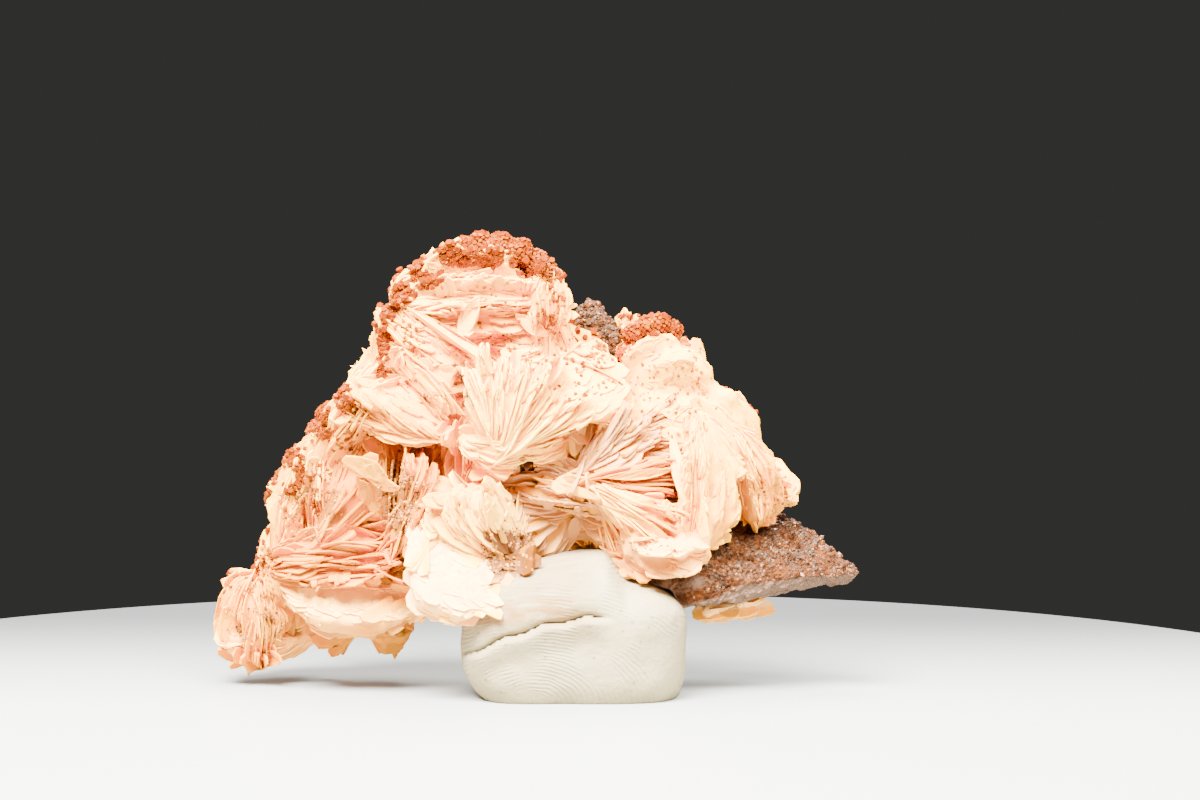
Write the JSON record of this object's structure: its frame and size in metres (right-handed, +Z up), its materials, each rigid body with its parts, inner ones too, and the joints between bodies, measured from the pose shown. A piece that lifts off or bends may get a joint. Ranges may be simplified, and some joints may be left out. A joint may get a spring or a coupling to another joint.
{
  "type": "mineral specimen",
  "caption": "Hand specimen of bladed barite sprays grown over brown rock, crusted with vanadinite crystals along its top, propped upright on a lump of putty.",
  "frame": {"origin": "on the surface that the specimen stands on, on the flat of the putty, under the middle of the specimen's width", "axes": "+X along the specimen's length, towards the brown rock's pointed end; +Z up; -Y is the broken face that shows the blades edge on"},
  "size_m": [0.1127, 0.0451, 0.0792],
  "materials": {
    "barite": "pearly, creamy white with peach and rust in the gaps",
    "rock": "dark brown, granular and glittering",
    "vanadinite": "orange red, resinous, glossy",
    "putty": "matt, pale grey beige"
  },
  "bodies": {
    "root": {"barite_blades": "barite", "barite_under_rock": "barite", "matrix_rock": "rock", "putty_stand": "putty", "vanadinite_summit": "vanadinite", "vanadinite_cheek": "vanadinite", "vanadinite_shoulder": "vanadinite", "vanadinite_flank": "vanadinite", "vanadinite_peak": "vanadinite"}
  },
  "joints": []
}
